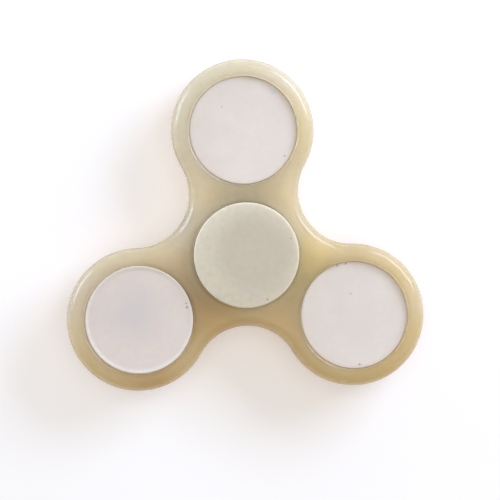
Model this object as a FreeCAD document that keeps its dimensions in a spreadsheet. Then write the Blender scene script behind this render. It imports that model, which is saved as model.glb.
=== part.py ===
"""A three-lobed fidget spinner, in millimetres.

The spinner lies flat. +Z is its spin axis and the origin is the centre of the back finger cap's
outer face, so the spinner stands on z = 0. The upper lobe points along +Y.

A moulded body carries a steel weight in each of its three lobes, closed by a plastic cover on each
side. A shielded 8 x 22 x 7 ball bearing is pressed into the middle of the body, and two finger caps
plug into the bearing's bore from the two sides.
"""

import FreeCAD
import Part
import Sketcher

import math
import os
import re

# Driving dimensions, in millimetres. They are the only numbers that set the spinner's size.
DIMENSIONS = {
    "overall_height": 12.0,  # one finger cap's outer face to the other's
    "lobe_pitch": 26.0,  # spin axis to a lobe's centre
    "lobe_radius": 14.85,
    "neck_radius": 11.15,  # the hollow between two lobes
    "body_thickness": 8.0,
    "body_rounding": 2.5,
    "lobe_bore_radius": 11.25,
    "lobe_bore_rounding": 0.8,
    "hub_bore_chamfer": 0.25,
    "seam_thickness": 0.14,  # the moulding seam round the body's side
    "seam_proud": 0.05,
    "ejector_mark_radius": 1.0,
    "ejector_mark_depth": 0.12,
    "ejector_mark_pitch": 12.9,
    "weight_thickness": 3.2,
    "weight_chamfer": 0.4,
    "cover_radius": 11.22,
    "cover_thickness": 1.5,
    "cover_rounding": 0.12,
    "cover_aside": 0.02,  # how far off centre a front cover sits in its bore
    "cover_dish": 0.12,  # how far a cover's face sinks in its middle
    "cover_rim_width": 0.6,
    "sink_radius": 10.9,  # the left lobe's front cover is sunk inside a thin lip
    "sink_offset": 0.12,
    "sink_depth": 0.36,
    "sink_wall_width": 0.8,
    "sink_wall_height": 0.24,
    "sunk_cover_rounding": 0.3,
    "left_stack_shift": 0.8,  # the left lobe's weight and covers sit this much further forward
    "bearing_bore_radius": 4.0,
    "bearing_outer_radius": 11.0,
    "bearing_width": 7.0,
    "bearing_chamfer": 0.3,
    "ball_radius": 1.984,
    "ball_pitch_radius": 7.5,
    "ball_clearance": 0.015,
    "race_radius": 2.06,
    "inner_shoulder_radius": 6.05,
    "outer_shoulder_radius": 9.15,
    "shield_seat_radius": 9.9,
    "shield_seat_depth": 1.15,  # bearing face to the ledge that the shield rests on
    "shield_thickness": 0.3,
    "shield_flange_radius": 9.35,
    "shield_rise": 0.45,
    "shield_bore_radius": 6.3,
    "snap_groove_radius": 10.16,
    "snap_groove_width": 0.5,
    "snap_wire_radius": 0.22,
    "cage_inner_radius": 6.45,
    "cage_outer_radius": 8.55,
    "cage_thickness": 0.3,
    "cage_clearance": 0.08,  # ball to cage pocket
    "rivet_radius": 0.3,
    "rivet_head_radius": 0.5,
    "rivet_head_height": 0.18,
    "cap_radius": 10.95,
    "cap_thickness": 1.5,
    "cap_flat_radius": 6.5,
    "cap_crown_drop": 0.35,
    "cap_rounding": 0.3,
    "cap_skirt_width": 1.1,
    "cap_hollow_depth": 0.5,
    "cap_boss_radius": 5.3,
    "stem_gap": 0.1,  # from the bearing's middle to the end of each cap's stem
    "spigot_radius": 2.5,
    "spigot_length": 2.8,
    "spigot_chamfer": 0.3,
    "socket_spare_depth": 0.3,
}

LOBES = {"upper": 90, "left": 210, "right": 330}  # direction of each lobe, degrees from +X
BALLS = 7
SNAP_RING_SWEEP = 340  # degrees: a snap ring is open over the rest
ASIDE = 41  # degrees from +X: the way that the front covers and the sunk one's dish are off centre
FRONT = 1
BACK = -1
BETWEEN_BALLS = tuple(f"ball_pitch_radius * {f}(180 / {BALLS})" for f in ("cos", "sin"))
TOLERANCE = 1e-4
UP = FreeCAD.Vector(0, 0, 1)
ACROSS = FreeCAD.Vector(1, 0, 0)

doc = FreeCAD.newDocument("fidget_spinner")
sheet = doc.addObject("Spreadsheet::Sheet", "Sizes")


def fill_sheet():
    """Puts each driving dimension in the spreadsheet, under its own alias."""
    for row, (name, number) in enumerate(DIMENSIONS.items(), start=1):
        sheet.set(f"A{row}", name)
        sheet.set(f"B{row}", str(number))
        sheet.setAlias(f"B{row}", name)
    doc.recompute()


def formula(text):
    """An expression in which each dimension's name reads its cell."""
    return re.sub(r"[a-z_]+", lambda m: f"Sizes.{m[0]}" if m[0] in DIMENSIONS else m[0], text)


def value(text):
    """What an expression of dimensions comes to."""
    return float(sheet.evalExpression(formula(text)))


def height(side, offset):
    """The height above z = 0 of what lies an offset from the middle plane, on the front or the back."""
    return f"overall_height / 2 {'+' if side == FRONT else '-'} ({offset})"


# Sketches


def new_sketch(body, name, plane="XZ_Plane", lift=None):
    """A sketch on one of the body's own origin planes, raised along Z by lift."""
    sketch = body.newObject("Sketcher::SketchObject", name)
    origin_plane = next(f for f in body.Origin.OriginFeatures if f.Role == plane)
    sketch.AttachmentSupport = [(origin_plane, "")]
    sketch.MapMode = "FlatFace"
    if lift:
        sketch.setExpression("AttachmentOffset.Base.z", formula(lift))
    return sketch


def bind(sketch, constraint_index, name, text):
    """Names a constraint of the sketch and ties its value to an expression."""
    sketch.renameConstraint(constraint_index, name)
    sketch.setExpression(f"Constraints.{name}", formula(text))


def pin(sketch, edge, point, direction, text):
    """Fixes one coordinate of an edge's point, along X or Y of the sketch, to an expression."""
    distance = value(text)
    if abs(distance) < TOLERANCE:
        axis = -2 if direction == "X" else -1
        sketch.addConstraint(Sketcher.Constraint("PointOnObject", edge, point, axis))
        return
    index = sketch.addConstraint(
        Sketcher.Constraint(f"Distance{direction}", -1, 1, edge, point, distance)
    )
    bind(sketch, index, f"{direction.lower()}_of_edge_{edge}_point_{point}", text)


def add_arc(sketch, begin, end, centre, turn):
    """An arc from begin to end, counter-clockwise for a turn of 1. Returns its index and end points."""
    first, last = (begin, end) if turn > 0 else (end, begin)
    angles = [math.atan2(p.y - centre.y, p.x - centre.x) for p in (first, last)]
    circle = Part.Circle(centre, UP, (begin - centre).Length)
    index = sketch.addGeometry(Part.ArcOfCircle(circle, *angles))
    return (index, 1, 2) if turn > 0 else (index, 2, 1)


def draw_outline(sketch, corners, arcs=None):
    """One closed outline through the corners, each (across, up) or (across, up, what to pin).

    arcs maps an edge's number to (centre across, centre up, what to pin, radius or None, turn).
    """
    arcs = arcs or {}
    places = [FreeCAD.Vector(value(c[0]), value(c[1]), 0) for c in corners]
    edges = []
    for number, begin in enumerate(places):
        end = places[(number + 1) % len(places)]
        if number in arcs:
            across, up, pins, radius, turn = arcs[number]
            centre = FreeCAD.Vector(value(across), value(up), 0)
            edges.append(add_arc(sketch, begin, end, centre, turn))
        else:
            edges.append((sketch.addGeometry(Part.LineSegment(begin, end)), 1, 2))
    for number, (edge, _, last) in enumerate(edges):
        following, first, _ = edges[(number + 1) % len(edges)]
        sketch.addConstraint(Sketcher.Constraint("Coincident", edge, last, following, first))
    for (edge, first, _), corner in zip(edges, corners):
        pins = corner[2] if len(corner) > 2 else "XY"
        for direction, text in zip("XY", corner):
            if direction in pins:
                pin(sketch, edge, first, direction, text)
    for number, (across, up, pins, radius, _) in arcs.items():
        edge = edges[number][0]
        for direction, text in zip("XY", (across, up)):
            if direction in pins:
                pin(sketch, edge, 3, direction, text)
        if radius:
            index = sketch.addConstraint(Sketcher.Constraint("Radius", edge, value(radius)))
            bind(sketch, index, f"radius_of_edge_{edge}", radius)


def draw_circle(sketch, across, up, radius):
    """A full circle."""
    centre = FreeCAD.Vector(value(across), value(up), 0)
    edge = sketch.addGeometry(Part.Circle(centre, UP, value(radius)))
    pin(sketch, edge, 3, "X", across)
    pin(sketch, edge, 3, "Y", up)
    index = sketch.addConstraint(Sketcher.Constraint("Radius", edge, value(radius)))
    bind(sketch, index, f"radius_of_edge_{edge}", radius)


# Features


def new_body(name):
    body = doc.addObject("PartDesign::Body", name)
    body.Label = name
    return body


def revolve(body, sketch, angle=360):
    """Turns a sketch's outline round Z."""
    feature = body.newObject("PartDesign::Revolution", "revolution")
    feature.Profile = sketch
    feature.ReferenceAxis = (sketch, ["V_Axis"])
    feature.Angle = angle
    doc.recompute()
    return feature


def pad(body, sketch, length, name, down=False):
    """Extrudes a sketch's outline up, or down."""
    feature = body.newObject("PartDesign::Pad", name)
    feature.Profile = sketch
    feature.setExpression("Length", formula(length))
    feature.Reversed = down
    doc.recompute()
    return feature


def pocket(body, sketch, name, depth=None, upwards=False):
    """Cuts a sketch's outline down into the body, or up, as far as depth or right through."""
    before = body.Shape.Volume
    feature = body.newObject("PartDesign::Pocket", name)
    feature.Profile = sketch
    feature.Reversed = upwards
    if depth:
        feature.setExpression("Length", formula(depth))
    else:
        feature.Type = "ThroughAll"
    doc.recompute()
    if body.Shape.Volume > before - TOLERANCE:
        raise RuntimeError(f"{body.Label}: pocket {name} cuts nothing")
    return feature


def groove(body, sketch, name):
    """Cuts a sketch's outline out of the body all the way round Z."""
    before = body.Shape.Volume
    feature = body.newObject("PartDesign::Groove", name)
    feature.Profile = sketch
    feature.ReferenceAxis = (sketch, ["V_Axis"])
    feature.Angle = 360
    doc.recompute()
    if body.Shape.Volume > before - TOLERANCE:
        raise RuntimeError(f"{body.Label}: groove {name} cuts nothing")
    return feature


def repeat_round(body, features, count, name):
    """Repeats features round the body's own Z axis."""
    z_axis = next(f for f in body.Origin.OriginFeatures if f.Role == "Z_Axis")
    pattern = body.newObject("PartDesign::PolarPattern", name)
    pattern.Originals = features
    pattern.Axis = (z_axis, [""])
    pattern.Angle = 360
    pattern.Occurrences = count
    body.Tip = pattern
    doc.recompute()
    return pattern


def edges_where(feature, wanted):
    """The names of a feature's edges that pass a test."""
    return [f"Edge{n}" for n, edge in enumerate(feature.Shape.Edges, start=1) if wanted(edge)]


def circle_test(radius, *heights):
    """A test for edges that are circles of that radius in a level plane at one of the heights."""
    size = value(radius)
    levels = [value(h) for h in heights]

    def wanted(edge):
        if edge.Degenerated or not isinstance(edge.Curve, Part.Circle):
            return False
        if abs(edge.Curve.Radius - size) > TOLERANCE:
            return False
        return any(abs(edge.Curve.Center.z - level) < TOLERANCE for level in levels)

    return wanted


def soften(body, feature, wanted, amount, kind="Fillet"):
    """Rounds or bevels the edges of a feature that pass a test."""
    names = edges_where(feature, wanted)
    if not names:
        raise RuntimeError(f"{body.Label}: no edge to soften on {feature.Name}")
    softened = body.newObject(f"PartDesign::{kind}", f"{feature.Name}_{kind.lower()}")
    softened.Base = (feature, names)
    softened.setExpression("Radius" if kind == "Fillet" else "Size", formula(amount))
    doc.recompute()
    return softened


def place(item, across="0", along="0", up="0", turn=None):
    """Ties an object's place to expressions, and turns it by (axis, degrees)."""
    if turn:
        axis, degrees = turn
        item.Placement = FreeCAD.Placement(FreeCAD.Vector(), FreeCAD.Rotation(axis, degrees))
    for letter, text in zip("xyz", (across, along, up)):
        if text != "0":
            item.setExpression(f"Placement.Base.{letter}", formula(text))


# The spinner's body


def draw_tri_lobe(sketch, grow):
    """The body's outline: three lobe arcs joined by three hollow neck arcs, all tangent.

    grow is how far outside the nominal outline this one runs.
    """
    pitch, lobe, neck = value("lobe_pitch"), value("lobe_radius"), value("neck_radius")
    neck_pitch = (pitch + math.sqrt(4 * (lobe + neck) ** 2 - 3 * pitch**2)) / 2
    lobe_share = lobe / (lobe + neck)

    def polar(distance, degrees):
        angle = math.radians(degrees)
        return FreeCAD.Vector(distance * math.cos(angle), distance * math.sin(angle), 0)

    lobe_arcs, neck_arcs = [], []
    for degrees in LOBES.values():
        centre = polar(pitch, degrees)
        before, after = (polar(neck_pitch, degrees + step) for step in (-60, 60))
        following = polar(pitch, degrees + 120)
        touch_before, touch_after = (centre + (n - centre) * lobe_share for n in (before, after))
        touch_next = following + (after - following) * lobe_share
        lobe_arcs.append(add_arc(sketch, touch_before, touch_after, centre, 1)[0])
        neck_arcs.append(add_arc(sketch, touch_after, touch_next, after, -1)[0])
    for number, degrees in enumerate(LOBES.values()):
        lobe_arc, neck_arc = lobe_arcs[number], neck_arcs[number]
        next_lobe = lobe_arcs[(number + 1) % len(lobe_arcs)]
        sketch.addConstraint(Sketcher.Constraint("Tangent", lobe_arc, 2, neck_arc, 2))
        sketch.addConstraint(Sketcher.Constraint("Tangent", neck_arc, 1, next_lobe, 1))
        pin(sketch, lobe_arc, 3, "X", f"lobe_pitch * cos({degrees})")
        pin(sketch, lobe_arc, 3, "Y", f"lobe_pitch * sin({degrees})")
        for arc, text in ((lobe_arc, f"lobe_radius + {grow}"), (neck_arc, f"neck_radius - {grow}")):
            index = sketch.addConstraint(Sketcher.Constraint("Radius", arc, value(text)))
            bind(sketch, index, f"radius_of_edge_{arc}", text)


def make_spinner_body():
    """The moulded body: a rounded plate with a bore in each lobe and one for the bearing."""
    body = new_body("spinner_body")
    top = height(FRONT, "body_thickness / 2")
    bottom = height(BACK, "body_thickness / 2")
    levels = (value(top), value(bottom))

    outline = new_sketch(body, "body_outline", "XY_Plane", bottom)
    draw_tri_lobe(outline, "0")
    plate = pad(body, outline, "body_thickness", "body_plate")

    def in_a_face(edge):
        return any(all(abs(v.Z - level) < TOLERANCE for v in edge.Vertexes) for level in levels)

    soften(body, plate, in_a_face, "body_rounding")

    seam = new_sketch(body, "seam_outline", "XY_Plane", height(BACK, "seam_thickness / 2"))
    draw_tri_lobe(seam, "seam_proud")
    pad(body, seam, "seam_thickness", "moulding_seam")

    hub = new_sketch(body, "hub_bore_circle", "XY_Plane", top)
    draw_circle(hub, "0", "0", "bearing_outer_radius")
    bored = pocket(body, hub, "hub_bore")
    rims = circle_test("bearing_outer_radius", top, bottom)
    soften(body, bored, rims, "hub_bore_chamfer", "Chamfer")

    lobe = new_sketch(body, "lobe_bore_circle", "XY_Plane", top)
    draw_circle(lobe, "0", "lobe_pitch", "lobe_bore_radius")
    first_bore = pocket(body, lobe, "lobe_bore")
    bores = repeat_round(body, [first_bore], len(LOBES), "lobe_bores")
    soften(body, bores, circle_test("lobe_bore_radius", top, bottom), "lobe_bore_rounding")

    mark = new_sketch(body, "ejector_mark_circle", "XY_Plane", bottom)
    draw_circle(mark, "0", "ejector_mark_pitch", "ejector_mark_radius")
    first_mark = pocket(body, mark, "ejector_mark", "ejector_mark_depth", upwards=True)
    repeat_round(body, [first_mark], len(LOBES), "ejector_marks")
    return body


# What each lobe holds


def stack_shift(lobe):
    """How far a lobe's weight and covers sit in front of the middle plane."""
    return "left_stack_shift" if lobe == "left" else "0"


def in_lobe(item, lobe, up, turn=None, aside="0"):
    """Places an object on a lobe's own axis, or a little aside of it."""
    across, along = (f"lobe_pitch * {f}({LOBES[lobe]}) + {aside} * {f}({ASIDE})" for f in ("cos", "sin"))
    place(item, across, along, up, turn)


def make_weight(lobe):
    """The steel slug that is pressed into a lobe's bore."""
    body = new_body(f"weight_{lobe}")
    sketch = new_sketch(body, "weight_circle", "XY_Plane")
    draw_circle(sketch, "0", "0", "lobe_bore_radius")
    slug = pad(body, sketch, "weight_thickness", "slug")
    rims = circle_test("lobe_bore_radius", "0", "weight_thickness")
    soften(body, slug, rims, "weight_chamfer", "Chamfer")
    in_lobe(body, lobe, f"overall_height / 2 - weight_thickness / 2 + {stack_shift(lobe)}")
    return body


def sink_face(cover):
    """Sinks a cover's face inside a thin lip, with the dish a little off centre along X."""
    sketch = new_sketch(cover, "sink_section")
    sketch.setExpression("AttachmentOffset.Base.x", formula("sink_offset"))
    clear = "cover_thickness + 1"
    foot = ("sink_radius - sink_wall_width", "cover_thickness - sink_wall_height")
    corners = [
        ("0", "cover_thickness - sink_depth"),
        foot,
        ("sink_radius", "cover_thickness"),
        ("sink_radius", clear),
        ("0", clear),
    ]
    rise = "(sink_depth - sink_wall_height)"
    floor_radius = f"(({foot[0]})^2 + {rise}^2) / (2 * {rise})"
    wall_radius = "(sink_wall_width^2 + sink_wall_height^2) / (2 * sink_wall_height)"
    floor = ("0", f"cover_thickness - sink_depth + {floor_radius}", "X", None, 1)
    wall = (foot[0], f"{foot[1]} + {wall_radius}", "X", None, 1)
    draw_outline(sketch, corners, {0: floor, 1: wall})
    groove(cover, sketch, "sink")


def make_cover(lobe, side):
    """A plastic disc over a weight, with a slightly dished face inside a narrow flat rim."""
    body = new_body(f"{'front' if side == FRONT else 'back'}_cover_{lobe}")
    sketch = new_sketch(body, "cover_section")
    dish_radius = "cover_radius - cover_rim_width"
    sphere_radius = f"(({dish_radius})^2 + cover_dish^2) / (2 * cover_dish)"
    corners = [
        ("0", "0"),
        ("cover_radius", "0"),
        ("cover_radius", "cover_thickness"),
        (dish_radius, "cover_thickness"),
        ("0", "cover_thickness - cover_dish"),
    ]
    dish = ("0", f"cover_thickness - cover_dish + {sphere_radius}", "X", None, -1)
    draw_outline(sketch, corners, {3: dish})
    disc = revolve(body, sketch)
    sunk = lobe == "left" and side == FRONT
    rounding = "sunk_cover_rounding" if sunk else "cover_rounding"
    soften(body, disc, circle_test("cover_radius", "cover_thickness"), rounding)
    shift = stack_shift(lobe)
    if side == BACK:
        in_lobe(body, lobe, f"overall_height / 2 - weight_thickness / 2 + {shift}", (ACROSS, 180))
        return body
    turn = None
    if sunk:
        sink_face(body)
        turn = (UP, ASIDE)
    up = f"overall_height / 2 + weight_thickness / 2 + {shift}"
    in_lobe(body, lobe, up, turn, aside="cover_aside")
    return body


# The ball bearing


def race_corner(shoulder, centre, up):
    """The corner where a race groove meets its shoulder, which the groove's own arc places."""
    half = f"sqrt(race_radius^2 - ({shoulder} - ({centre}))^2)"
    return (shoulder, height(FRONT if up else BACK, half), "X")


def make_inner_ring():
    """The bearing's inner ring, with the groove that the balls run in round its outside."""
    body = new_body("bearing_inner_ring")
    sketch = new_sketch(body, "inner_ring_section")
    top, bottom = height(FRONT, "bearing_width / 2"), height(BACK, "bearing_width / 2")
    centre = "ball_pitch_radius - ball_radius - ball_clearance + race_radius"
    shoulder = "inner_shoulder_radius"
    corners = [
        ("bearing_bore_radius", bottom),
        (shoulder, bottom),
        race_corner(shoulder, centre, up=False),
        race_corner(shoulder, centre, up=True),
        (shoulder, top),
        ("bearing_bore_radius", top),
    ]
    groove_arc = (centre, "overall_height / 2", "XY", "race_radius", -1)
    draw_outline(sketch, corners, {2: groove_arc})
    ring = revolve(body, sketch)
    for radius in ("bearing_bore_radius", shoulder):
        ring = soften(body, ring, circle_test(radius, top, bottom), "bearing_chamfer", "Chamfer")
    return body


def make_outer_ring():
    """The bearing's outer ring: its race, and a ledge and snap groove for a shield at each face."""
    body = new_body("bearing_outer_ring")
    sketch = new_sketch(body, "outer_ring_section")
    top, bottom = height(FRONT, "bearing_width / 2"), height(BACK, "bearing_width / 2")
    centre = "ball_pitch_radius + ball_radius + ball_clearance - race_radius"
    shoulder = "outer_shoulder_radius"

    def seat(side):
        """Corners from the race's shoulder out to the bearing's face."""
        ledge = "bearing_width / 2 - shield_seat_depth"
        groove_foot = f"{ledge} + shield_thickness"
        groove_head = f"{groove_foot} + snap_groove_width"
        return [
            (shoulder, height(side, ledge)),
            ("shield_seat_radius", height(side, ledge)),
            ("shield_seat_radius", height(side, groove_foot)),
            ("snap_groove_radius", height(side, groove_foot)),
            ("snap_groove_radius", height(side, groove_head)),
            ("shield_seat_radius", height(side, groove_head)),
            ("shield_seat_radius", height(side, "bearing_width / 2")),
        ]

    corners = [
        race_corner(shoulder, centre, up=False),
        race_corner(shoulder, centre, up=True),
        *seat(FRONT),
        ("bearing_outer_radius", top),
        ("bearing_outer_radius", bottom),
        *reversed(seat(BACK)),
    ]
    groove_arc = (centre, "overall_height / 2", "XY", "race_radius", 1)
    draw_outline(sketch, corners, {0: groove_arc})
    ring = revolve(body, sketch)
    soften(
        body, ring, circle_test("bearing_outer_radius", top, bottom), "bearing_chamfer", "Chamfer"
    )
    return body


def make_shield(side):
    """A pressed steel shield: a flange on the outer ring's ledge, and a raised web inside it."""
    body = new_body(f"bearing_shield_{'front' if side == FRONT else 'back'}")
    sketch = new_sketch(body, "shield_section")
    ledge = "bearing_width / 2 - shield_seat_depth"
    web_radius = "shield_flange_radius - shield_rise"

    def corner(radius, raised, outer_face):
        text = ledge + (" + shield_rise" if raised else "")
        return (radius, height(side, text + (" + shield_thickness" if outer_face else "")))

    corners = [
        corner("shield_seat_radius", False, False),
        corner("shield_flange_radius", False, False),
        corner(web_radius, True, False),
        corner("shield_bore_radius", True, False),
        corner("shield_bore_radius", True, True),
        corner(web_radius, True, True),
        corner("shield_flange_radius", False, True),
        corner("shield_seat_radius", False, True),
    ]
    draw_outline(sketch, corners)
    revolve(body, sketch)
    return body


def make_snap_ring(side):
    """The open wire ring that holds a shield on its ledge."""
    body = new_body(f"shield_snap_ring_{'front' if side == FRONT else 'back'}")
    sketch = new_sketch(body, "wire_circle")
    shield_face = "bearing_width / 2 - shield_seat_depth + shield_thickness"
    middle = height(side, f"{shield_face} + snap_wire_radius")
    draw_circle(sketch, "snap_groove_radius - snap_wire_radius", middle, "snap_wire_radius")
    revolve(body, sketch, angle=SNAP_RING_SWEEP)
    return body


def make_ball(number):
    """One of the bearing's steel balls."""
    ball = doc.addObject("Part::Sphere", f"bearing_ball_{number}")
    ball.Label = f"bearing_ball_{number}"
    ball.setExpression("Radius", formula("ball_radius"))
    degrees = 360 * (number - 1) / BALLS
    across, along = (f"ball_pitch_radius * {f}({degrees})" for f in ("cos", "sin"))
    place(ball, across, along, "overall_height / 2")
    return ball


def ball_sphere(body, kind, name, radius, side=None):
    """A sphere about the first ball, added to or cut from the body; one half of it if side is given."""
    before = body.Shape.Volume
    sphere = body.newObject(f"PartDesign::{kind}Sphere", name)
    sphere.setExpression("Radius", formula(radius))
    sphere.setExpression("Placement.Base.x", formula("ball_pitch_radius"))
    sphere.setExpression("Placement.Base.z", formula("overall_height / 2"))
    if side == FRONT:
        sphere.Angle1 = 0
    if side == BACK:
        sphere.Angle2 = 0
    doc.recompute()
    if abs(body.Shape.Volume - before) < TOLERANCE:
        raise RuntimeError(f"{body.Label}: {name} changes nothing")
    return sphere


def make_cage_half(side):
    """Half of the riveted ribbon cage: a flat ring with a rounded pocket over each ball."""
    body = new_body(f"bearing_cage_{'front' if side == FRONT else 'back'}")
    middle = "overall_height / 2"
    pocket_radius = "ball_radius + cage_clearance"
    reach = f"{pocket_radius} + 2 * cage_thickness"

    ribbon = new_sketch(body, "ribbon_circles", "XY_Plane", middle)
    draw_circle(ribbon, "0", "0", "cage_inner_radius")
    draw_circle(ribbon, "0", "0", "cage_outer_radius")
    pad(body, ribbon, "cage_thickness", "ribbon", down=side == BACK)

    shell = ball_sphere(body, "Additive", "shell", f"{pocket_radius} + cage_thickness", side)
    repeat_round(body, [shell], BALLS, "shells")
    hollow = ball_sphere(body, "Subtractive", "hollow", pocket_radius)
    repeat_round(body, [hollow], BALLS, "hollows")

    trim = new_sketch(body, "trim_sections")
    for inner, outer in (("0", "cage_inner_radius"), ("cage_outer_radius", "bearing_outer_radius")):
        near, far = height(side, f"-({reach})"), height(side, reach)
        draw_outline(trim, [(inner, near), (outer, near), (outer, far), (inner, far)])
    groove(body, trim, "trim")

    hole = new_sketch(body, "rivet_hole_circle", "XY_Plane", middle)
    draw_circle(hole, *BETWEEN_BALLS, "rivet_radius")
    first_hole = pocket(body, hole, "rivet_hole", upwards=side == FRONT)
    repeat_round(body, [first_hole], BALLS, "rivet_holes")
    return body


def make_cage_rivets():
    """The rivets that hold the two cage halves together, one between each pair of balls."""
    body = new_body("bearing_cage_rivets")
    shank = new_sketch(body, "shank_circle", "XY_Plane", height(BACK, "cage_thickness"))
    draw_circle(shank, *BETWEEN_BALLS, "rivet_radius")
    rivet = [pad(body, shank, "2 * cage_thickness", "shank")]
    for side in (FRONT, BACK):
        head = new_sketch(body, "head_circle", "XY_Plane", height(side, "cage_thickness"))
        draw_circle(head, *BETWEEN_BALLS, "rivet_head_radius")
        rivet.append(pad(body, head, "rivet_head_height", "head", down=side == BACK))
    repeat_round(body, rivet, BALLS, "rivets")
    return body


# The finger caps


def cap_disc_corners(side):
    """Corners of a finger cap from its outer face round to its stem, and its crowned edge."""
    outer = "overall_height / 2"
    skirt_foot = f"{outer} - cap_thickness"
    hollow_roof = f"{skirt_foot} + cap_hollow_depth"
    inner_skirt = "cap_radius - cap_skirt_width"
    corners = [
        ("0", height(side, outer)),
        ("cap_flat_radius", height(side, outer)),
        ("cap_radius", height(side, f"{outer} - cap_crown_drop")),
        ("cap_radius", height(side, skirt_foot)),
        (inner_skirt, height(side, skirt_foot)),
        (inner_skirt, height(side, hollow_roof)),
        ("cap_boss_radius", height(side, hollow_roof)),
        ("cap_boss_radius", height(side, "bearing_width / 2")),
        ("bearing_bore_radius", height(side, "bearing_width / 2")),
        ("bearing_bore_radius", height(side, "stem_gap")),
    ]
    run = "(cap_radius - cap_flat_radius)"
    crown_radius = f"({run}^2 + cap_crown_drop^2) / (2 * cap_crown_drop)"
    crown = ("cap_flat_radius", height(side, f"{outer} - {crown_radius}"), "X", None, -side)
    return corners, {1: crown}


def soften_cap(body, disc, side):
    """Rounds a finger cap's outer edge and breaks the edge at its skirt's foot."""
    shoulder = height(side, "overall_height / 2 - cap_crown_drop")
    foot = height(side, "overall_height / 2 - cap_thickness")
    rounded = soften(body, disc, circle_test("cap_radius", shoulder), "cap_rounding")
    return soften(body, rounded, circle_test("cap_radius", foot), "cap_rounding / 2", "Chamfer")


def make_front_cap():
    """The front finger cap, whose hollow stem takes the back cap's spigot."""
    body = new_body("front_finger_cap")
    sketch = new_sketch(body, "front_cap_section")
    corners, arcs = cap_disc_corners(FRONT)
    mouth = height(FRONT, "stem_gap")
    roof = height(FRONT, "spigot_length - stem_gap + socket_spare_depth")
    corners += [("spigot_radius", mouth), ("spigot_radius", roof), ("0", roof)]
    draw_outline(sketch, corners, arcs)
    soften_cap(body, revolve(body, sketch), FRONT)
    return body


def make_back_cap():
    """The back finger cap, whose spigot plugs into the front cap."""
    body = new_body("back_finger_cap")
    sketch = new_sketch(body, "back_cap_section")
    corners, arcs = cap_disc_corners(BACK)
    tip = height(FRONT, "spigot_length - stem_gap")
    corners += [("spigot_radius", height(BACK, "stem_gap")), ("spigot_radius", tip), ("0", tip)]
    draw_outline(sketch, corners, arcs)
    disc = soften_cap(body, revolve(body, sketch), BACK)
    soften(body, disc, circle_test("spigot_radius", tip), "spigot_chamfer", "Chamfer")
    return body


def make_parts():
    """Every separate piece of the spinner."""
    fill_sheet()
    parts = [make_spinner_body(), make_front_cap(), make_back_cap()]
    for lobe in LOBES:
        parts += [make_weight(lobe), make_cover(lobe, FRONT), make_cover(lobe, BACK)]
    parts += [make_inner_ring(), make_outer_ring(), make_cage_rivets()]
    for side in (FRONT, BACK):
        parts += [make_shield(side), make_snap_ring(side), make_cage_half(side)]
    parts += [make_ball(number) for number in range(1, BALLS + 1)]
    doc.recompute()
    return parts


def check(parts):
    """Stops before anything is written if an object of the document or a part's shape is unsound."""
    for item in doc.Objects:
        if "Invalid" in item.State or "Error" in item.State:
            raise RuntimeError(f"{item.Label} failed: {item.State}")
    for item in parts:
        if item.Shape.isNull() or not item.Shape.isValid():
            raise RuntimeError(f"{item.Label} has no valid shape")


def write(parts):
    """Writes each part to its own STEP file, named after it."""
    os.makedirs("parts", exist_ok=True)
    for item in parts:
        item.Shape.exportStep(os.path.join("parts", f"{item.Label}.step"))
        solids = len(item.Shape.Solids)
        print(f"{item.Label}: {solids} solid{'s' * (solids > 1)}, {item.Shape.Volume:.2f} mm3")


spinner_parts = make_parts()
check(spinner_parts)
write(spinner_parts)
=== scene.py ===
"""The looks of the fidget spinner: its materials, and the floor, light and camera around it.

Every shape of the spinner comes from the CAD frame. Lengths are in metres and angles in degrees.
"""

import math

import bpy
from mathutils import Matrix, Quaternion, Vector


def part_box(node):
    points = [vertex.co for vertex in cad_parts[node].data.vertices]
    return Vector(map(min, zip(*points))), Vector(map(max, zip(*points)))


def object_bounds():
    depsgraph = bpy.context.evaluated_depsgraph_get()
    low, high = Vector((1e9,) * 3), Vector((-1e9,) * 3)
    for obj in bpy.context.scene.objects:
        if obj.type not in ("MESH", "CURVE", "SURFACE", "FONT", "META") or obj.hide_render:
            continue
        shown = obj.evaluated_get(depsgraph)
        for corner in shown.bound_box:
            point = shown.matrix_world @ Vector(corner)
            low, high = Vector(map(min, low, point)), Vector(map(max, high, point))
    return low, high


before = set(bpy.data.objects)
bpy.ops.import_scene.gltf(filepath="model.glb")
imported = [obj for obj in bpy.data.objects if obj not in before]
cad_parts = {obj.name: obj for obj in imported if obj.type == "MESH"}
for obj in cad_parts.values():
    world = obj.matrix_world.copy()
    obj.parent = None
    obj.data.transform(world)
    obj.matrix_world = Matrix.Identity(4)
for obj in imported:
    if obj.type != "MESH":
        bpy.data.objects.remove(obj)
cad_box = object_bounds()

MM = 0.001
UP = (0, 0, 1)

# Where things are, from the frame.
LOBES = ("upper", "left", "right")
CENTRE = Vector((0, 0, (cad_box[0].z + cad_box[1].z) / 2))
SPAN = cad_box[1].x - cad_box[0].x
cap_low, cap_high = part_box("front_finger_cap")
CAP_RADIUS = (cap_high.x - cap_low.x) / 2
cover_low, cover_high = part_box("front_cover_upper")
COVER_RADIUS = (cover_high.x - cover_low.x) / 2

# The camera looks down the spin axis, from a little to its left and beyond it.
CAMERA_DISTANCE = 450 * MM
CAMERA_LEAN = (-4.7, 0.95)  # from the spin axis, towards +X and +Y
CAMERA_ROLL = -1.13
CAMERA_AIM = Vector((1.15 * MM, 0.98 * MM, 0)) + CENTRE
CAMERA_LENS_MM = 154.5
CAMERA_CLIP = (0.01, 10)  # the nearest and the furthest that it sees


def towards(azimuth, elevation):
    """A direction, by its azimuth from +X and its elevation above the floor."""
    around, above = math.radians(azimuth), math.radians(elevation)
    return Vector(
        (math.cos(around) * math.cos(above), math.sin(around) * math.cos(above), math.sin(above))
    )


# Most of a noise texture's values lie between these two.
NOISE_LOW = 0.3
NOISE_HIGH = 0.7

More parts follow.
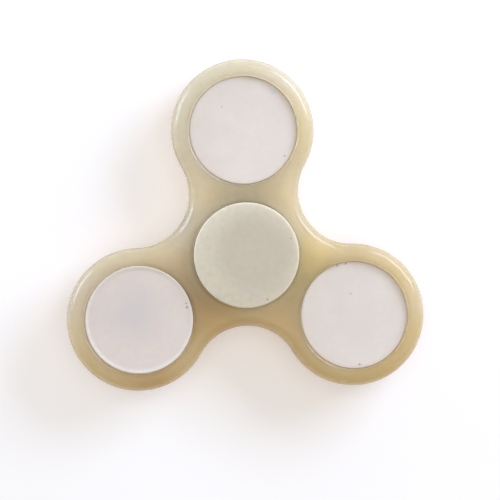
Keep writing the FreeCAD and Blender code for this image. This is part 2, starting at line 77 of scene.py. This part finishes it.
# A grain or mark is at full strength out to this share of its radius, and fades from there to its edge.
GRAIN_CORE = 0.6
MARK_CORE = 0.4

# The Mix node's sockets by number, because their names repeat for each kind of value.
MIX_SHARE_INPUT = 0
MIX_COLOUR_INPUTS = (6, 7)
MIX_COLOUR_OUTPUT = 2


class Shader:
    """A Principled material being made, with short calls for the nodes that feed it."""

    def __init__(self, name, roughness, metallic=0.0):
        self.material = bpy.data.materials.new(name)
        self.material.use_nodes = True
        self.tree = self.material.node_tree
        self.principled = self.tree.nodes["Principled BSDF"]
        self.set("Roughness", roughness)
        self.set("Metallic", metallic)
        self.place = self.tree.nodes.new("ShaderNodeTexCoord").outputs["Object"]

    # Nodes

    def set(self, socket, value):
        self.principled.inputs[socket].default_value = value

    def link(self, output, socket):
        self.tree.links.new(output, socket)

    def feed(self, output, socket):
        """Runs an output into one of the Principled shader's own sockets."""
        self.link(output, self.principled.inputs[socket])

    def node(self, kind, **settings):
        made = self.tree.nodes.new(kind)
        for name, value in settings.items():
            setattr(made, name, value)
        return made

    def math(self, operation, *values):
        """A sum, each value a number or an output."""
        made = self.node("ShaderNodeMath", operation=operation)
        for number, value in enumerate(values):
            if isinstance(value, (int, float)):
                made.inputs[number].default_value = value
            else:
                self.link(value, made.inputs[number])
        return made.outputs["Value"]

    def vector(self, operation, *values, output="Value"):
        """A vector sum, each value a fixed vector or an output."""
        made = self.node("ShaderNodeVectorMath", operation=operation)
        for number, value in enumerate(values):
            if isinstance(value, (tuple, Vector)):
                made.inputs[number].default_value = value
            else:
                self.link(value, made.inputs[number])
        return made.outputs[output]

    def remap(self, source, low, high, new_low=0.0, new_high=1.0):
        """A value between low and high, stretched to run from new_low to new_high."""
        made = self.node("ShaderNodeMapRange", interpolation_type="SMOOTHSTEP")
        ends = {"From Min": low, "From Max": high, "To Min": new_low, "To Max": new_high}
        for name, number in ends.items():
            made.inputs[name].default_value = number
        self.link(source, made.inputs["Value"])
        return made.outputs["Result"]

    def fade(self, source, start, end, most=1.0):
        """The most where the source is below start, falling to 0 where it reaches end."""
        return self.remap(source, start, end, most, 0)

    def mix(self, first, second, share):
        """A colour between two, each a fixed colour or an output."""
        made = self.node("ShaderNodeMix", data_type="RGBA")
        self.link(share, made.inputs[MIX_SHARE_INPUT])
        for number, colour in zip(MIX_COLOUR_INPUTS, (first, second)):
            if isinstance(colour, tuple):
                made.inputs[number].default_value = (*colour, 1)
            else:
                self.link(colour, made.inputs[number])
        return made.outputs[MIX_COLOUR_OUTPUT]

    def tint(self, colour, other, mask, strength):
        """A colour turned towards another, by up to strength, where the mask is 1."""
        return self.mix(colour, other, self.math("MULTIPLY", mask, strength))

    # Places

    def distance_from_axis(self, point):
        """How far each place is from the upright line through a point."""
        flat = self.vector("MULTIPLY", self.place, (1, 1, 0), output="Vector")
        return self.vector("DISTANCE", flat, (point.x, point.y, 0))

    def distance_from_lobes(self):
        """How far each place is from the nearest lobe's middle."""
        nearest = SPAN
        for lobe in LOBES:
            low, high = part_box(f"front_cover_{lobe}")
            nearest = self.math("MINIMUM", nearest, self.distance_from_axis((low + high) / 2))
        return nearest

    def along(self, direction, reach):
        """0 at one side of the spinner and 1 at the other, along a direction."""
        return self.remap(self.vector("DOT_PRODUCT", self.place, direction), -reach, reach)

    def flatness(self):
        """1 on a face, 0 on a side, and between them on the rounding from one to the other."""
        normal = self.node("ShaderNodeNewGeometry").outputs["Normal"]
        return self.math("ABSOLUTE", self.vector("DOT_PRODUCT", normal, UP))

    def on_edges(self):
        """1 where the surface turns from a face to a side, and 0 on both."""
        flatness = self.flatness()
        off_sides = self.remap(flatness, low=0.2, high=0.6)
        off_faces = self.fade(flatness, start=0.7, end=0.98)
        return self.math("MULTIPLY", off_sides, off_faces)

    def stretched(self, across, along, up):
        """The place in the object, scaled along each axis."""
        mapping = self.node("ShaderNodeMapping")
        mapping.inputs["Scale"].default_value = (across, along, up)
        self.link(self.place, mapping.inputs["Vector"])
        return mapping.outputs["Vector"]

    # Patterns

    def noise(self, size, detail=3, place=None):
        """A noise whose swells are about as wide as size."""
        made = self.node("ShaderNodeTexNoise")
        made.inputs["Scale"].default_value = 1 / size
        made.inputs["Detail"].default_value = detail
        self.link(place or self.place, made.inputs["Vector"])
        return made.outputs["Fac"]

    def blotches(self, size, low=NOISE_LOW, high=NOISE_HIGH, detail=3):
        """Soft blotches: 1 where the noise is above high, and 0 where it is below low."""
        return self.remap(self.noise(size, detail), low, high)

    def uneven(self, value, size, below, above):
        """A value that wanders softly, from that much below it to that much above."""
        return self.remap(self.noise(size), NOISE_LOW, NOISE_HIGH, value - below, value + above)

    def grains(self, spacing, radius, share):
        """Small round grains in a share of the cells: 1 inside a grain and 0 elsewhere."""
        cells = self.node("ShaderNodeTexVoronoi")
        cells.inputs["Scale"].default_value = 1 / spacing
        self.link(self.place, cells.inputs["Vector"])
        distance = cells.outputs["Distance"]  # in cells
        inside = self.fade(distance, GRAIN_CORE * radius / spacing, radius / spacing)
        chosen = self.node("ShaderNodeSeparateColor")
        self.link(cells.outputs["Color"], chosen.inputs["Color"])
        return self.math("MULTIPLY", inside, self.math("LESS_THAN", chosen.outputs["Red"], share))

    def marks(self, node, *blemishes):
        """Soft round marks on a node's front: x and y from its middle, and radius, in millimetres."""
        low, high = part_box(node)
        middle = (low + high) / 2
        height = self.vector("DOT_PRODUCT", self.place, UP)
        in_front = self.math("GREATER_THAN", height, CENTRE.z)
        total = 0
        for across, along, radius in blemishes:
            distance = self.distance_from_axis(middle + Vector((across, along, 0)) * MM)
            mark = self.fade(distance, MARK_CORE * radius * MM, radius * MM)
            total = self.math("MAXIMUM", total, mark)
        return self.math("MULTIPLY", total, in_front)

    def scratches(self, length, width):
        """Fine hairlines in two directions: 1 on a line and 0 elsewhere."""
        squeeze = width / length
        lines = [
            self.noise(width, detail=1, place=self.stretched(*stretch))
            for stretch in ((squeeze, 1, 1), (1, squeeze, 1))
        ]
        return self.remap(self.math("MAXIMUM", *lines), low=0.66, high=0.74)

    # Finishes

    def translucent(self, depths):
        """Light goes into the plastic, this far in red, green and blue."""
        self.set("Subsurface Weight", 1.0)
        self.set("Subsurface Scale", depths[0])
        self.set("Subsurface Radius", tuple(depth / depths[0] for depth in depths))

    def bump(self, height, depth):
        """Raises the surface by up to depth."""
        made = self.node("ShaderNodeBump")
        made.inputs["Distance"].default_value = depth
        self.link(height, made.inputs["Height"])
        self.feed(made.outputs["Normal"], "Normal")

    def scratched(self, swells, scratches, cut, depth):
        """Raises the surface by up to depth on its swells, with scratches cut into them."""
        self.bump(self.math("MULTIPLY_ADD", scratches, -cut, swells), depth)

    def mottle(self, colour, darker, strength):
        """Colours the surface, with fine mottling and a few small grains."""
        blotches = self.blotches(size=1.1 * MM, low=0.35, high=0.75, detail=4)
        colour = self.tint(colour, darker, blotches, strength)
        grains = self.grains(spacing=4.5 * MM, radius=0.14 * MM, share=0.3)
        self.feed(self.tint(colour, SPECK, grains, strength=0.3), "Base Color")

    def dirty(self, mask, dirt, strength):
        """Lays dirt over the colour that is already there."""
        under = self.principled.inputs["Base Color"].links[0].from_socket
        self.feed(self.tint(under, dirt, mask, strength), "Base Color")

    def satin(self, roughness):
        """The finish of a moulded disc: an uneven sheen, fine dimples and hairline scratches."""
        self.feed(self.uneven(roughness, size=4 * MM, below=0.04, above=0.05), "Roughness")
        dimples = self.noise(0.9 * MM, detail=4)
        hairlines = self.scratches(length=6 * MM, width=0.1 * MM)
        self.scratched(dimples, hairlines, cut=0.3, depth=0.008 * MM)

    def put_on(self, *nodes):
        """Gives the finished material to CAD nodes."""
        for name in nodes:
            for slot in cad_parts[name].material_slots:
                slot.material = self.material


# The body's material

BODY_PALE = (0.74, 0.52, 0.31)
# Painted shade: the body turns from pale to tan towards the bottom, the side away from the lights.
BODY_SHADED_TAN = (0.59, 0.34, 0.13)
BODY_SHADE_AZIMUTH = -72  # azimuth
BODY_SHADE_REACH = 0.43 * SPAN  # from the middle to where the plastic is all pale or all tan
# Painted light: a lighter ring round the cap, which offsets the shade that the cap throws on the
# plastic.
BODY_CAP_LIGHT_REACH = (0.4 * MM, 2.4 * MM)  # how far from the cap the paler ring begins to fade, and ends
BODY_CAP_LIGHT_GAIN = (1.35, 1.38, 1.38)
BODY_CAP_LIGHT_LIMIT = (0.97, 0.97, 0.97)
# Painted light and shade: soft round patches that lighten the lit places and darken the shaded ones.
BODY_LIGHT_AND_SHADE_PATCHES = (  # painted light and shade, in patches: x, y and radius in millimetres, and the colour
    (10, 25, 12, (0.71, 0.43, 0.17)),
    (13, -4, 11, (0.97, 0.58, 0.19)),
    (0, 15, 8, (0.86, 0.58, 0.26)),
    (-8, -13, 11, (0.39, 0.23, 0.07)),
    (-20, -27, 10, (0.38, 0.21, 0.08)),
    (38, -10, 9, (0.62, 0.42, 0.24)),
    (-13, 5, 10, (0.54, 0.44, 0.30)),
    (-32, -8, 13, (0.61, 0.42, 0.29)),
)
BODY_LIGHT_AND_SHADE_STRENGTH = 0.7
# Painted shade on the body's sides, where little light reaches.
BODY_SIDE_SHADE = (0.34, 0.20, 0.06)
BODY_CLOUD = (0.72, 0.62, 0.40)
BODY_PIGMENT = (0.48, 0.38, 0.16)
BODY_DEPTHS = (45 * MM, 40 * MM, 35 * MM)
BODY_SPECULAR = 0.36
BODY_ROUGHNESS = 0.19
SPECK = (0.16, 0.11, 0.07)


def body_colour(made):
    """Painted shade and light: pale at the top and tan at the bottom, the side away from the lights; a
    lighter ring by the cap that offsets the cap's shade; soft patches of painted light and shade; and
    painted shade on the sides.
    """
    # Painted shade, darker and tanner towards the bottom.
    shaded_side = made.along(towards(BODY_SHADE_AZIMUTH, 0), BODY_SHADE_REACH)
    colour = made.mix(BODY_PALE, BODY_SHADED_TAN, shaded_side)
    # Painted light, lightening the plastic by the cap against the cap's shade.
    paler = made.vector("MULTIPLY", colour, BODY_CAP_LIGHT_GAIN, output="Vector")
    paler = made.vector("MINIMUM", paler, BODY_CAP_LIGHT_LIMIT, output="Vector")
    beside_cap = made.math("SUBTRACT", made.distance_from_axis(CENTRE), CAP_RADIUS)
    colour = made.mix(colour, paler, made.fade(beside_cap, *BODY_CAP_LIGHT_REACH))
    # Painted light and shade, in soft round patches.
    for across, along, radius, painted_tone in BODY_LIGHT_AND_SHADE_PATCHES:
        distance = made.distance_from_axis(Vector((across, along, 0)) * MM)
        colour = made.mix(colour, painted_tone, made.fade(distance, 0, radius * MM, BODY_LIGHT_AND_SHADE_STRENGTH))
    # Painted shade: the sides are darkened.
    shaded_sides = made.fade(made.flatness(), start=0.1, end=0.6, most=0.8)
    return made.mix(colour, BODY_SIDE_SHADE, shaded_sides)


def body_plastic():
    """Milky glow-in-the-dark plastic, shiny and a little scuffed at its edges."""
    made = Shader("body_plastic", BODY_ROUGHNESS)
    made.translucent(BODY_DEPTHS)
    made.set("Specular IOR Level", BODY_SPECULAR)
    colour = made.tint(body_colour(made), BODY_CLOUD, made.blotches(9 * MM), strength=0.06)
    blotches = made.blotches(size=2 * MM, low=0.35, high=0.7, detail=4)
    colour = made.tint(colour, BODY_PIGMENT, blotches, strength=0.15)
    pigment = made.grains(spacing=0.7 * MM, radius=0.13 * MM, share=0.6)
    colour = made.tint(colour, BODY_PIGMENT, pigment, strength=0.45)
    dirt = made.grains(spacing=7 * MM, radius=0.16 * MM, share=0.35)
    made.feed(made.tint(colour, SPECK, dirt, strength=0.6), "Base Color")
    worn = made.blotches(size=1.6 * MM, low=0.5, high=0.7, detail=5)
    scuffs = made.math("MULTIPLY", made.on_edges(), worn)
    scuff_dullness = 0.12
    sheen = made.uneven(BODY_ROUGHNESS, size=5 * MM, below=0.03, above=0.03)
    made.feed(made.math("MULTIPLY_ADD", scuffs, scuff_dullness, sheen), "Roughness")
    hairlines = made.scratches(length=9 * MM, width=0.12 * MM)
    made.scratched(made.noise(1.4 * MM), hairlines, cut=0.25, depth=0.010 * MM)
    return made


# The materials of the covers and the caps

COVER_PALE = (0.92, 0.865, 0.80)
COVER_GREY = (0.885, 0.83, 0.77)
COVER_MOTTLE = (0.80, 0.74, 0.69)
# Painted light: a lighter edge on the covers, which offsets the shade in the narrow groove round them.
COVER_EDGE_LIGHT = (0.99, 0.90, 0.80)
COVER_EDGE_LIGHT_CORE = 0.4  # the share of the edge's width that has its full colour
COVER_CLOUD_SIZE = 6 * MM
COVER_DEPTHS = (0.70 * MM, 0.75 * MM, 0.80 * MM)
COVER_ROUGHNESS = 0.34
SUNK_RIM = (0.88, 0.81, 0.75)
SUNK_MIDDLE = (0.785, 0.755, 0.735)
SUNK_GREY_PLACE = Vector((-1.0, 0.8, 0)) * MM  # from the sunk cover's middle
SUNK_GREY_REACH = (4 * MM, 13 * MM)  # how far from there the grey begins to fade, and ends
SUNK_RAGGEDNESS = 7 * MM
CAP_MIDDLE = (0.70, 0.65, 0.52)
CAP_LIT_RIM = (0.85, 0.78, 0.63)
CAP_MOTTLE = (0.62, 0.57, 0.47)
CAP_DEPTHS = (1.6 * MM, 1.36 * MM, 1.04 * MM)
CAP_ROUGHNESS = 0.38
# The grey middle sits off to the right, so that the painted lighter rim is widest on the left, where
# the cool light falls.
CAP_GREY_PLACE = CENTRE + Vector((1.9, 0.6, 0)) * MM
CAP_GREY_REACH = (0.5 * CAP_RADIUS, 1.05 * CAP_RADIUS)
STAIN = (0.50, 0.78, 0.74)

# Marks on the fronts: x and y from the node's middle, and radius, in millimetres.
UPPER_STAIN = (6.4, 8.0, 1.0)
UPPER_SPECKS = ((-4.4, 4.9, 0.22), (8.5, -5.5, 0.33))
RIGHT_SPECKS = ((-3.4, 10.4, 0.3), (-1.6, 10.8, 0.3), (-0.7, 4.4, 0.22), (0.9, -10.4, 0.32))
LEFT_SPECKS = ((10.0, 2.4, 0.36), (9.8, 3.2, 0.24))
CAP_SPECKS = ((4.1, -9.2, 0.3), (9.3, 3.3, 0.24))


def finish_cover(made, colour, edge_width, mottling):
    """What all the covers share: translucency, a painted lighter edge that offsets the shade in the
    groove round it, mottling and a satin finish.
    """
    made.translucent(COVER_DEPTHS)
    from_edge = made.math("SUBTRACT", COVER_RADIUS, made.distance_from_lobes())
    # Painted light along the edge, against the groove's shade.
    edge = made.fade(from_edge, COVER_EDGE_LIGHT_CORE * edge_width, edge_width)
    made.mottle(made.mix(colour, COVER_EDGE_LIGHT, edge), COVER_MOTTLE, mottling)
    made.satin(COVER_ROUGHNESS)


def cover_plastic():
    """Off-white plastic with a faint pink cast and soft clouds."""
    made = Shader("cover_plastic", COVER_ROUGHNESS)
    clouded = made.mix(COVER_GREY, COVER_PALE, made.blotches(COVER_CLOUD_SIZE))
    finish_cover(made, clouded, edge_width=0.3 * MM, mottling=0.15)
    made.dirty(made.marks("front_cover_upper", UPPER_STAIN), STAIN, strength=0.3)
    made.dirty(made.marks("front_cover_upper", *UPPER_SPECKS), SPECK, strength=0.38)
    made.dirty(made.marks("front_cover_right", *RIGHT_SPECKS), SPECK, strength=0.5)
    return made


def sunk_cover_plastic():
    """The plastic of the left lobe's front cover, which turns raggedly greyer towards its middle."""
    made = Shader("sunk_cover_plastic", COVER_ROUGHNESS)
    low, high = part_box("front_cover_left")
    from_grey_place = made.distance_from_axis((low + high) / 2 + SUNK_GREY_PLACE)
    clouds = made.noise(COVER_CLOUD_SIZE)
    ragged = made.math("MULTIPLY_ADD", clouds, SUNK_RAGGEDNESS, from_grey_place)
    greyed = made.mix(SUNK_MIDDLE, SUNK_RIM, made.remap(ragged, *SUNK_GREY_REACH))
    finish_cover(made, greyed, edge_width=0.9 * MM, mottling=0.3)
    made.dirty(made.marks("front_cover_left", *LEFT_SPECKS), SPECK, strength=0.5)
    return made


def cap_plastic():
    """Translucent greenish-white plastic, greyer in its middle than at its rim: partly where the dark
    bearing shows through and partly painted shade, with a painted lighter rim that is widest on the
    left, where the cool light falls.
    """
    made = Shader("cap_plastic", CAP_ROUGHNESS)
    made.translucent(CAP_DEPTHS)
    # Partly painted shade in the middle and painted light at the rim.
    towards_lit_rim = made.remap(made.distance_from_axis(CAP_GREY_PLACE), *CAP_GREY_REACH)
    made.mottle(made.mix(CAP_MIDDLE, CAP_LIT_RIM, towards_lit_rim), CAP_MOTTLE, strength=0.3)
    made.dirty(made.marks("front_finger_cap", *CAP_SPECKS), SPECK, strength=0.5)
    made.satin(CAP_ROUGHNESS)
    return made


# The steels

STEEL_GRAIN = 0.4 * MM
STEEL_RELIEF = 0.002 * MM
STEEL_SHADE = 0.8  # the colour of the grain's dark lines, as a share of the steel's own
STEEL_SHEEN = (0.8, 1.25)  # the least and the most roughness, as shares of the steel's own


def steel(name, colour, roughness, grain=(1, 1, 1)):
    """Bare steel with a fine grain, stretched the way it was ground or drawn."""
    made = Shader(name, roughness, metallic=1.0)
    lines = made.noise(STEEL_GRAIN, detail=4, place=made.stretched(*grain))
    dull = tuple(STEEL_SHADE * part for part in colour)
    made.feed(made.mix(dull, colour, made.remap(lines, low=0.35, high=0.65)), "Base Color")
    sheen = [share * roughness for share in STEEL_SHEEN]
    made.feed(made.remap(lines, NOISE_LOW, NOISE_HIGH, *sheen), "Roughness")
    made.bump(lines, STEEL_RELIEF)
    return made


def dress_bearing():
    """Gives the bearing's pieces their steels."""
    ground = steel("ring_steel", (0.62, 0.62, 0.63), roughness=0.22, grain=(1, 1, 12))
    ground.put_on("bearing_inner_ring", "bearing_outer_ring")
    balls = [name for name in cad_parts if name.startswith("bearing_ball")]
    steel("ball_steel", (0.75, 0.75, 0.76), roughness=0.08).put_on(*balls)
    pressed = steel("cage_steel", (0.52, 0.51, 0.49), roughness=0.32)
    pressed.put_on("bearing_cage_front", "bearing_cage_back", "bearing_cage_rivets")
    sheet = steel("shield_steel", (0.58, 0.58, 0.58), roughness=0.28)
    sheet.put_on("bearing_shield_front", "bearing_shield_back")
    wire = steel("spring_wire", (0.40, 0.40, 0.41), roughness=0.35)
    wire.put_on("shield_snap_ring_front", "shield_snap_ring_back")


def dress():
    """Gives every CAD node its material."""
    body_plastic().put_on("spinner_body")
    cover_plastic().put_on(*(f"{side}_cover_{lobe}" for side in ("front", "back") for lobe in LOBES))
    sunk_cover_plastic().put_on("front_cover_left")
    cap_plastic().put_on("front_finger_cap", "back_finger_cap")
    weights = steel("weight_steel", (0.50, 0.50, 0.51), roughness=0.35)
    weights.put_on(*(f"weight_{lobe}" for lobe in LOBES))
    dress_bearing()


# Floor, light and camera

FLOOR_SIZE = 20.0
FLOOR_WHITE = (0.9, 0.9, 0.9)
FLOOR_ROUGHNESS = 0.9
FLOOR_GLOW = 0.3
KEY_PLACE = (38, 24)  # azimuth and elevation
KEY_WATTS = (1.0, 1.18, 1.55)
FILL_PLACE = (151, 7)
FILL_WATTS = (0.84, 1.08, 1.46)
OVERHEAD_PLACE = (90.0, 89.9)
OVERHEAD_WATTS = (1.36, 1.14, 0.96)
SKY = (0.30, 0.30, 0.30)


def make_floor():
    """A plain white floor under the spinner, which glows a little so that its shadows stay pale."""
    bpy.ops.mesh.primitive_plane_add(size=FLOOR_SIZE, location=(0, 0, cad_box[0].z))
    floor = bpy.context.object
    floor.name = "floor"
    made = Shader("floor", FLOOR_ROUGHNESS)
    made.set("Base Color", (*FLOOR_WHITE, 1))
    made.set("Emission Color", (*FLOOR_WHITE, 1))
    made.set("Emission Strength", FLOOR_GLOW)
    floor.data.materials.append(made.material)


def facing(direction, up=(0, 1, 0)):
    """The turn of a light or camera that looks back along a direction, with up at its top."""
    across = Vector(up).cross(direction).normalized()
    return Matrix((across, direction.cross(across), direction)).transposed().to_quaternion()


def add_softbox(name, place, distance, size, watts):
    """A rectangular area light that faces the spinner, with its watts in red, green and blue."""
    light = bpy.data.lights.new(name, "AREA")
    light.shape = "RECTANGLE"
    light.size, light.size_y = size
    light.energy = max(watts)
    light.color = tuple(part / light.energy for part in watts)
    box = bpy.data.objects.new(name, light)
    direction = towards(*place)
    box.location = CENTRE + direction * distance
    box.rotation_mode = "QUATERNION"
    box.rotation_quaternion = facing(direction, up=UP)
    bpy.context.scene.collection.objects.link(box)


def make_lights():
    """A low softbox at the upper right, a lower and cooler one at the upper left, and one overhead."""
    add_softbox("key", KEY_PLACE, distance=420 * MM, size=(300 * MM, 160 * MM), watts=KEY_WATTS)
    add_softbox("fill", FILL_PLACE, distance=500 * MM, size=(250 * MM, 100 * MM), watts=FILL_WATTS)
    wide = (600 * MM, 600 * MM)
    add_softbox("overhead", OVERHEAD_PLACE, distance=600 * MM, size=wide, watts=OVERHEAD_WATTS)


def make_sky():
    """An even, neutral glow from all around."""
    world = bpy.data.worlds.new("sky")
    bpy.context.scene.world = world
    world.use_nodes = True
    background = world.node_tree.nodes["Background"]
    background.inputs["Color"].default_value = (*SKY, 1)
    background.inputs["Strength"].default_value = 1.0


def make_camera():
    """The camera, nearly straight above the spinner."""
    lens = bpy.data.cameras.new("camera")
    lens.lens = CAMERA_LENS_MM
    lens.clip_start, lens.clip_end = CAMERA_CLIP
    camera = bpy.data.objects.new("camera", lens)
    lean = [math.tan(math.radians(angle)) for angle in CAMERA_LEAN]
    direction = Vector((*lean, 1)).normalized()
    camera.location = CAMERA_AIM + direction * CAMERA_DISTANCE
    camera.rotation_mode = "QUATERNION"
    roll = Quaternion(UP, math.radians(CAMERA_ROLL))
    camera.rotation_quaternion = facing(direction) @ roll
    bpy.context.scene.collection.objects.link(camera)
    bpy.context.scene.camera = camera


dress()
make_floor()
make_lights()
make_sky()
make_camera()
bpy.context.scene.view_settings.view_transform = "Standard"
